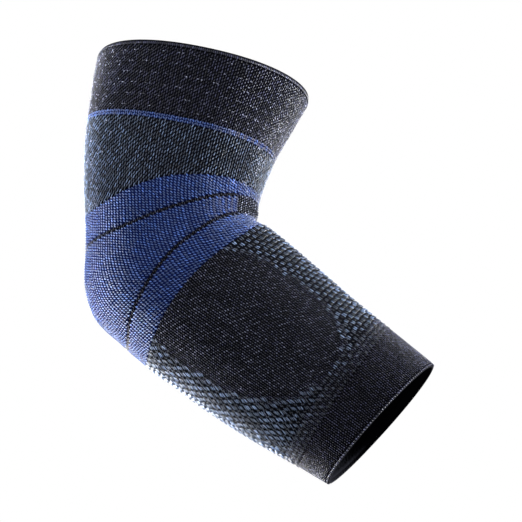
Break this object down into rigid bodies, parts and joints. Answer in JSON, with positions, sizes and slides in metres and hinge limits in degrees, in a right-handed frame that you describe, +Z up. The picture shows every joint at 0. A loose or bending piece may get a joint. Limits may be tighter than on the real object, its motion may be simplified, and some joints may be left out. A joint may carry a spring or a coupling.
{
  "type": "elbow brace",
  "caption": "Bent knitted compression sleeve for the elbow, open at both ends, with smooth cuffs, relief knit, a gored panel round the elbow and a smooth oval on the forearm.",
  "frame": {"origin": "the elbow's pivot, inside the sleeve, where the axes of the upper arm and the forearm cross", "axes": "+Z up along the upper arm, +X the way the forearm bends, the bend lies in the XZ plane, and the oval is on the -Y side"},
  "size_m": [0.2107, 0.0988, 0.205],
  "materials": {
    "dark_knit": "matt fine knit, near black navy",
    "relief_knit": "matt relief knit of near black and grey blue yarn",
    "blue_knit": "matt rib knit, royal blue yarn",
    "seam_knit": "matt fine knit, near black"
  },
  "bodies": {
    "root": {"upper_hem": "dark_knit", "upper_cuff": "dark_knit", "accent_stripe": "blue_knit", "upper_relief_knit": "relief_knit", "gore_upper": "blue_knit", "gore_seam_upper": "seam_knit", "gore_middle": "blue_knit", "gore_seam_lower": "seam_knit", "gore_lower": "blue_knit", "crook_relief_knit": "relief_knit", "forearm_relief_knit": "relief_knit", "forearm_oval": "dark_knit", "lower_cuff": "dark_knit", "lower_hem": "dark_knit"}
  },
  "joints": []
}
